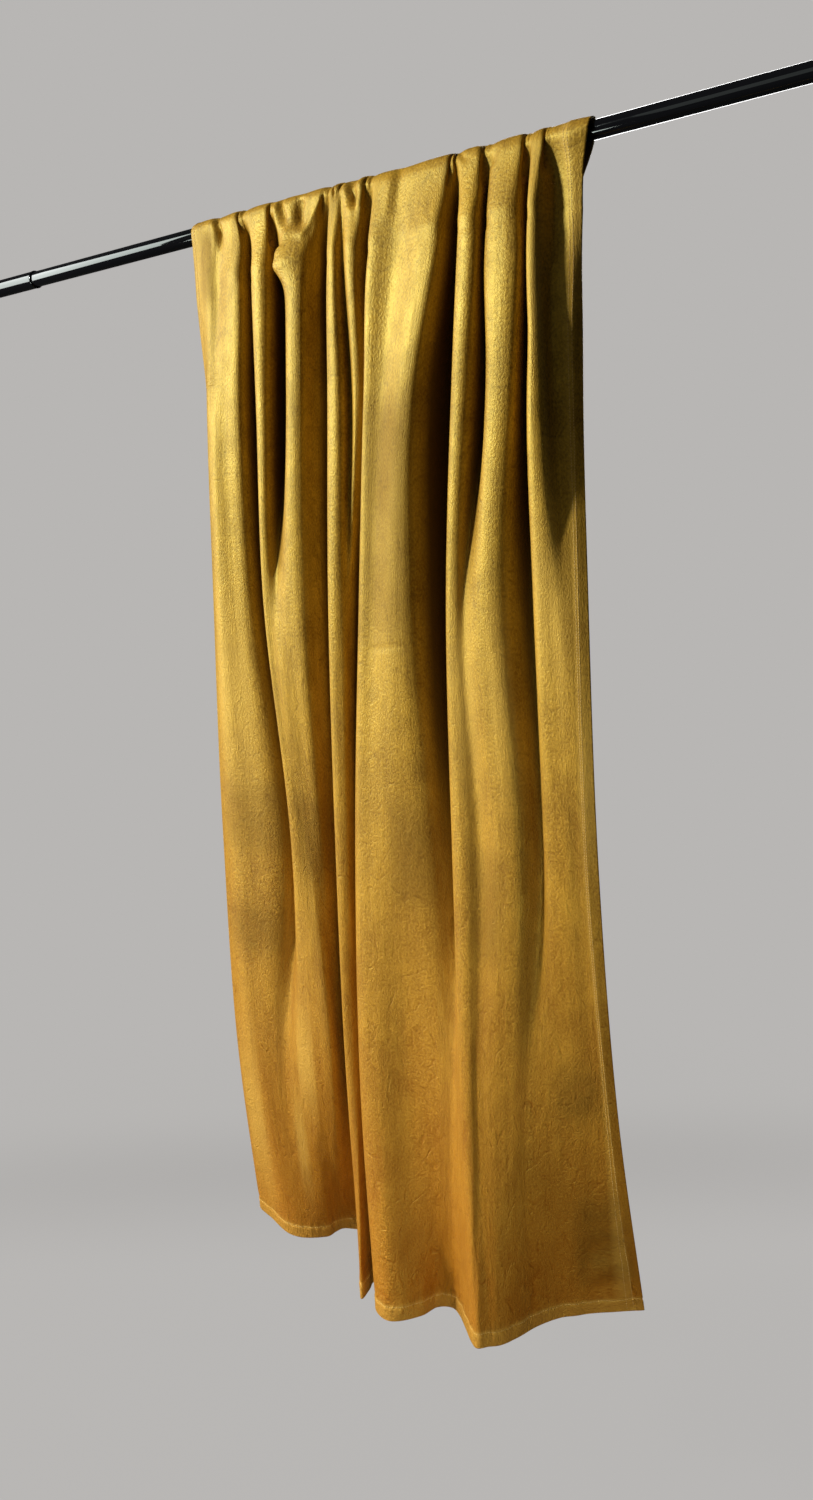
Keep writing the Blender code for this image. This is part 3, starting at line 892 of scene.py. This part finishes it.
def cloth_pattern(tree, place, size, sockets, **settings):
    """Noise stretched to this size across and down the cloth."""
    scale = (1 / size[0], 1 / size[1], 1.0)
    stretched = add_node(tree, "Mapping", {"Vector": place, "Scale": scale})
    sockets = {"Vector": stretched, "Scale": 1.0, "Detail": 3.0, "Roughness": 0.55, **sockets}
    return add_node(tree, "TexNoise", sockets, **settings)


def weighted_sum(tree, first, *others):
    """The first value plus each other one times its weight."""
    total = first
    for value, weight in others:
        sockets = {0: value, 1: weight, 2: total}
        total = add_node(tree, "Math", sockets, operation="MULTIPLY_ADD")
    return total


velvet, tree = add_material("ochre_polyester_velvet_brushed_pile")
place = add_node(tree, "UVMap", uv_map="cloth_metres")
down_the_cloth = add_node(tree, "SeparateXYZ", {0: place}).outputs[1]
share_at = {}
for attribute_name in cloth_shares:
    attribute = add_node(tree, "Attribute", attribute_name=attribute_name)
    share_at[attribute_name] = attribute.outputs["Fac"]
speckle = cloth_pattern(tree, place, speckle_size, {"Detail": 2.0})
streaks = cloth_pattern(tree, place, streak_size, {})
mottle = cloth_pattern(tree, place, mottle_size, {"Detail": 7.0, "Roughness": 0.68})
clouds = cloth_pattern(tree, place, cloud_size, {"Detail": 4.0})

# Crinkles are the sharp lines of a ridged noise, kept where the mottle is strong.
crinkle_noise = cloth_pattern(
    tree,
    place,
    crinkle_size,
    {"Detail": 2.0, "Roughness": 0.5, "Offset": 1.0, "Gain": 1.0, "Distortion": 0.6},
    noise_type="RIDGED_MULTIFRACTAL",
    normalize=False,
)
crinkle_lines = add_node(tree, "MapRange", {0: crinkle_noise, 1: 1.15, 2: 1.45})
crinkle_patches = add_node(tree, "MapRange", {0: mottle, 1: 0.42, 2: 0.60})
crinkles = add_node(tree, "Math", {0: crinkle_lines, 1: crinkle_patches}, operation="MULTIPLY")

# Colour: from dark to pale ochre by the sum of the patterns, and then what lies over it.
tone = weighted_sum(tree, clouds, (streaks, 0.45), (mottle, 0.90), (speckle, 1.35), (crinkles, -0.30))
tone_share = add_node(tree, "MapRange", {0: tone, 1: dark_sum, 2: pale_sum})
lowness = add_node(tree, "MapRange", {0: down_the_cloth, 1: low_start, 2: low_end, 4: low_share})
pressed_shade_share = add_node(tree, "Math", {0: share_at["pressed_shade"], 1: mottle}, operation="MULTIPLY")
# Painted shade and painted highlight over the tone: darker and more orange lower down, darker in the pressed
# and shaded patches and between the folds, and lighter along the hems and in the brushed patches.
velvet_colour = linear("#6c4308")
for share, hex_colour in (
    (tone_share, "#ba8e2c"),
    (lowness, "#a34e00"),
    (pressed_shade_share, "#5c2c00"),
    (share_at["hollow_shade"], "#52300c"),
    (share_at["seam"], "#d2a548"),
):
    layer_sockets = {0: share, 6: velvet_colour, 7: linear(hex_colour)}
    velvet_colour = add_node(tree, "Mix", layer_sockets, data_type="RGBA").outputs[2]

# Gloss: satin, less so in the troughs of the mottle and in the darker patches of pressed pile and painted
# shade.
gloss_pattern = weighted_sum(tree, clouds, (mottle, 1.0))
satin_roughness = add_node(tree, "MapRange", {0: gloss_pattern, 1: 0.8, 2: 1.2, 3: 0.58, 4: 0.47})
velvet_roughness = weighted_sum(tree, satin_roughness, (pressed_shade_share, 0.30))

# Relief: the pile's own patterns, stronger lower down, and the level wrinkles in their patches.
low_creasing = weighted_sum(tree, mottle, (crinkles, -0.35), (speckle, 0.25))
low_height = add_node(tree, "Math", {0: low_creasing, 1: lowness}, operation="MULTIPLY")
pile_height = weighted_sum(tree, mottle, (speckle, 0.85), (streaks, 0.55), (low_height, 5.4))
pile_bump = add_node(tree, "Bump", {"Height": pile_height, "Strength": 0.8, "Distance": 0.0013})
wrinkles = cloth_pattern(tree, place, wrinkle_size, {"Detail": 1.0})
wrinkle_height = add_node(tree, "Math", {0: wrinkles, 1: share_at["wrinkled"]}, operation="MULTIPLY")
wrinkle_bump = add_node(
    tree,
    "Bump",
    {"Height": wrinkle_height, "Strength": 1.0, "Distance": 0.004, "Normal": pile_bump},
)
velvet_shader = add_node(
    tree,
    "BsdfPrincipled",
    {
        "Base Color": velvet_colour,
        "Roughness": velvet_roughness,
        "Normal": wrinkle_bump,
        "IOR": 1.6,
        "Specular IOR Level": 0.85,
        "Specular Tint": linear("#fff070"),
        "Sheen Weight": 0.08,
        "Sheen Roughness": 0.35,
        "Sheen Tint": linear("#ffdc78"),
    },
)
add_node(tree, "OutputMaterial", {"Surface": velvet_shader})

# The back of the same cloth has no pile: a plain warp-knitted ground, matt and a little duller. Its ribs are
# drawn 1.5 mm apart so that they show.
rib_size = (0.0015, 0.012)
reverse_cloud_size = (0.09, 0.16)
reverse, tree = add_material("warp_knitted_velvet_reverse")
place = add_node(tree, "UVMap", uv_map="cloth_metres")
ribs = cloth_pattern(tree, place, rib_size, {"Detail": 2.0})
reverse_clouds = cloth_pattern(tree, place, reverse_cloud_size, {})
reverse_tone = add_node(tree, "Math", {0: ribs, 1: reverse_clouds}, operation="ADD")
reverse_share = add_node(tree, "MapRange", {0: reverse_tone, 1: 0.6, 2: 1.4})
reverse_sockets = {0: reverse_share, 6: linear("#7d5720"), 7: linear("#a27a38")}
reverse_colour = add_node(tree, "Mix", reverse_sockets, data_type="RGBA")
reverse_bump = add_node(tree, "Bump", {"Height": ribs, "Strength": 0.3, "Distance": 0.0004})
reverse_shader = add_node(
    tree,
    "BsdfPrincipled",
    {
        "Base Color": reverse_colour.outputs[2],
        "Roughness": 0.75,
        "Normal": reverse_bump,
        "Specular IOR Level": 0.25,
        "Sheen Weight": 0.1,
    },
)
add_node(tree, "OutputMaterial", {"Surface": reverse_shader})

curtain.data.materials.append(velvet)
curtain.data.materials.append(reverse)
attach(curtain, "root")
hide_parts("curtain_panel")


# Stitching: polyester thread a shade lighter than the velvet. One row closes the pocket, two rows run up each
# side hem and one along the bottom hem, with a stitch every 4.2 mm on both faces of the cloth.
stitch_pitch = 0.0042
stitch_length = 0.0032
thread_radius = 0.00045
thread_lift = 0.4
thread_flatness = 0.8
second_row_gap = 0.0040
points_per_step = 4

# Rings along a stitch: their place as a share of its length, and their width as a share of the thread's.
rings = ((-0.5, 0.0), (-0.38, 0.75), (0.0, 1.0), (0.38, 0.75), (0.5, 0.0))
ring_sides = 4


def cloth_line(rows, columns, face):
    """Points and outward directions on one face of the cloth, at fractional grid rows and columns."""
    surface = outside if face > 0 else inside
    # A little short of the last row and column there is still a next one to go towards.
    rows, columns = np.broadcast_arrays(rows, columns)
    rows = np.clip(rows, 0, row_count - 1.001)
    columns = np.clip(columns, 0, column_count - 1.001)
    r, c = rows.astype(int), columns.astype(int)
    fr, fc = (rows - r)[:, None], (columns - c)[:, None]

    def between(values):
        upper = values[r, c] * (1 - fc) + values[r, c + 1] * fc
        lower = values[r + 1, c] * (1 - fc) + values[r + 1, c + 1] * fc
        return upper * (1 - fr) + lower * fr

    return between(surface), unit(between(normals)) * face


def stitch_row(rows, columns, face):
    """Centre, direction along the seam and outward direction of each stitch of one row."""
    points, away = cloth_line(rows, columns, face)
    lengths = running_total(step_lengths(points))
    centres = np.arange(stitch_pitch, lengths[-1] - stitch_pitch, stitch_pitch)

    def along_row(places, values):
        return np.stack([np.interp(places, lengths, values[:, k]) for k in range(3)], axis=1)

    starts = along_row(centres - stitch_length / 2, points)
    ends = along_row(centres + stitch_length / 2, points)
    outwards = unit(along_row(centres, away))
    middles = (starts + ends) / 2 + outwards * thread_radius * thread_lift
    return middles, unit(ends - starts), outwards


def column_at(distance):
    """The column that lies this far across the cloth."""
    return float(np.interp(distance, across, np.arange(column_count)))


def row_at(height):
    """The row of the front, below the rod's axis, that hangs at this height."""
    first_row = apex_row + len(pocket_angles)
    heights = middle[first_row:, 0, 2]
    return float(np.interp(-height, -heights, np.arange(len(heights)))) + first_row


stitch_lines = []
every_column = np.linspace(0.0, column_count - 1.0, points_per_step * column_count)
every_row = np.linspace(0.0, row_count - 1.0, points_per_step * row_count)
for face in (1, -1):
    stitch_lines.append(stitch_row(row_at(hem_seam_height), every_column, face))
    for distance in (side_hem_width, side_hem_width - second_row_gap):
        for column in (column_at(distance), column_at(cloth_width - distance)):
            rows = every_row[every_row > row_at(pocket_seam_bottom) + 1] if face < 0 else every_row
            stitch_lines.append(stitch_row(rows, column, face))

# The pocket's row is pulled in by its thread's thickness.
seam_middle_row = row_at((pocket_seam_top + pocket_seam_bottom) / 2)
pocket_stitches, stitch_ways, stitch_fronts = stitch_row(seam_middle_row, every_column, 1)
stitch_lines.append((pocket_stitches - stitch_fronts * thread_radius, stitch_ways, stitch_fronts))


def add_stitches(name, lines):
    """All the stitches as one mesh: each is a short spindle that lies on the cloth."""
    centres, alongs, outs = (np.concatenate([line[i] for line in lines]) for i in range(3))
    asides = np.cross(alongs, outs)
    verts, faces = [], []
    stitch_faces = []
    offsets = [0, 1, 1 + ring_sides, 1 + 2 * ring_sides, 1 + 3 * ring_sides]
    for side in range(ring_sides):
        after = (side + 1) % ring_sides
        stitch_faces.append((0, offsets[1] + after, offsets[1] + side))
        for ring in (1, 2):
            near, far = offsets[ring], offsets[ring + 1]
            stitch_faces.append((near + side, near + after, far + after, far + side))
        stitch_faces.append((offsets[3] + side, offsets[3] + after, offsets[4]))
    for shift, width in rings:
        for side in range(ring_sides if width else 1):
            turn = 2 * math.pi * (side + 0.5) / ring_sides
            spread = asides * math.cos(turn) + outs * math.sin(turn) * thread_flatness
            verts.append(centres + alongs * shift * stitch_length + spread * width * thread_radius)
    verts_each = len(verts)
    points = np.stack(verts, axis=1).reshape(-1, 3)
    for stitch in range(len(centres)):
        faces.extend(tuple(v + stitch * verts_each for v in face) for face in stitch_faces)
    mesh = bpy.data.meshes.new(name)
    mesh.from_pydata(points, [], faces)
    mesh.polygons.foreach_set("use_smooth", np.ones(len(faces), bool))
    return add_mesh_object(name, mesh)


stitches = add_stitches("hem_and_pocket_stitches", stitch_lines)

# Twisted polyester thread: smooth and slightly glossy, with a fine ply.
plies_per_metre = 900.0
thread, tree = add_material("polyester_sewing_thread")
place = add_node(tree, "TexCoord").outputs["Object"]
ply = add_node(tree, "TexNoise", {"Vector": place, "Scale": plies_per_metre})
ply_sockets = {0: ply, 6: linear("#c89a44"), 7: linear("#f0d080")}
thread_colour = add_node(tree, "Mix", ply_sockets, data_type="RGBA")
thread_shader = add_node(tree, "BsdfPrincipled", {"Base Color": thread_colour.outputs[2], "Roughness": 0.45})
add_node(tree, "OutputMaterial", {"Surface": thread_shader})
stitches.data.materials.append(thread)
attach(stitches, "root")
